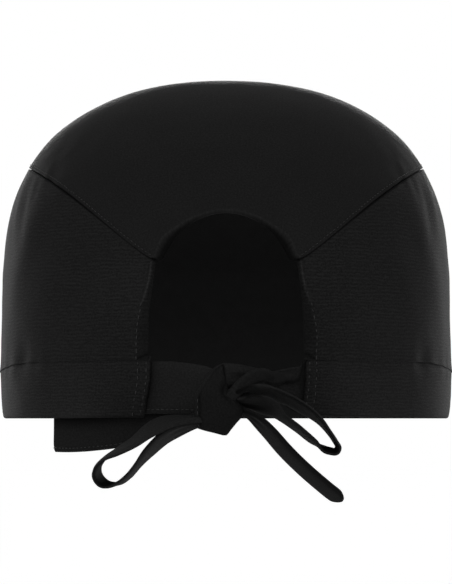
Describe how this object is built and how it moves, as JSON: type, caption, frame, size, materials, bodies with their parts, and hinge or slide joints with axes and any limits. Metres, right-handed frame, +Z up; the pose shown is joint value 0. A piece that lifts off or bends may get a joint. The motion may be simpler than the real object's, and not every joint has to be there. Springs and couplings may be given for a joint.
{
  "type": "hygiene cap",
  "caption": "Cloth hygiene cap with a domed crown, side wall, rim band and arched back opening closed by ties in a bow.",
  "frame": {"origin": "centre of the head opening, level with the lower edge of the rim band, where the cap sits on a head", "axes": "+X to the wearer's right, +Y to the wearer's front, +Z up; the back opening and the bow face -Y"},
  "size_m": [0.1836, 0.2228, 0.1691],
  "materials": {
    "cap_cloth": "matt black plain-weave cotton, with a fine rib",
    "band_cloth": "matt black plain-weave cotton, doubled and topstitched",
    "tie_cloth": "matt black plain-weave cotton, folded and edge-stitched"
  },
  "bodies": {
    "root": {"crown": "cap_cloth", "side_wall": "cap_cloth", "rim_band": "band_cloth", "tie_left": "tie_cloth", "tie_right": "tie_cloth", "knot": "tie_cloth", "loop_left": "tie_cloth", "loop_right": "tie_cloth", "tail_left": "tie_cloth", "tail_right": "tie_cloth"}
  },
  "joints": []
}
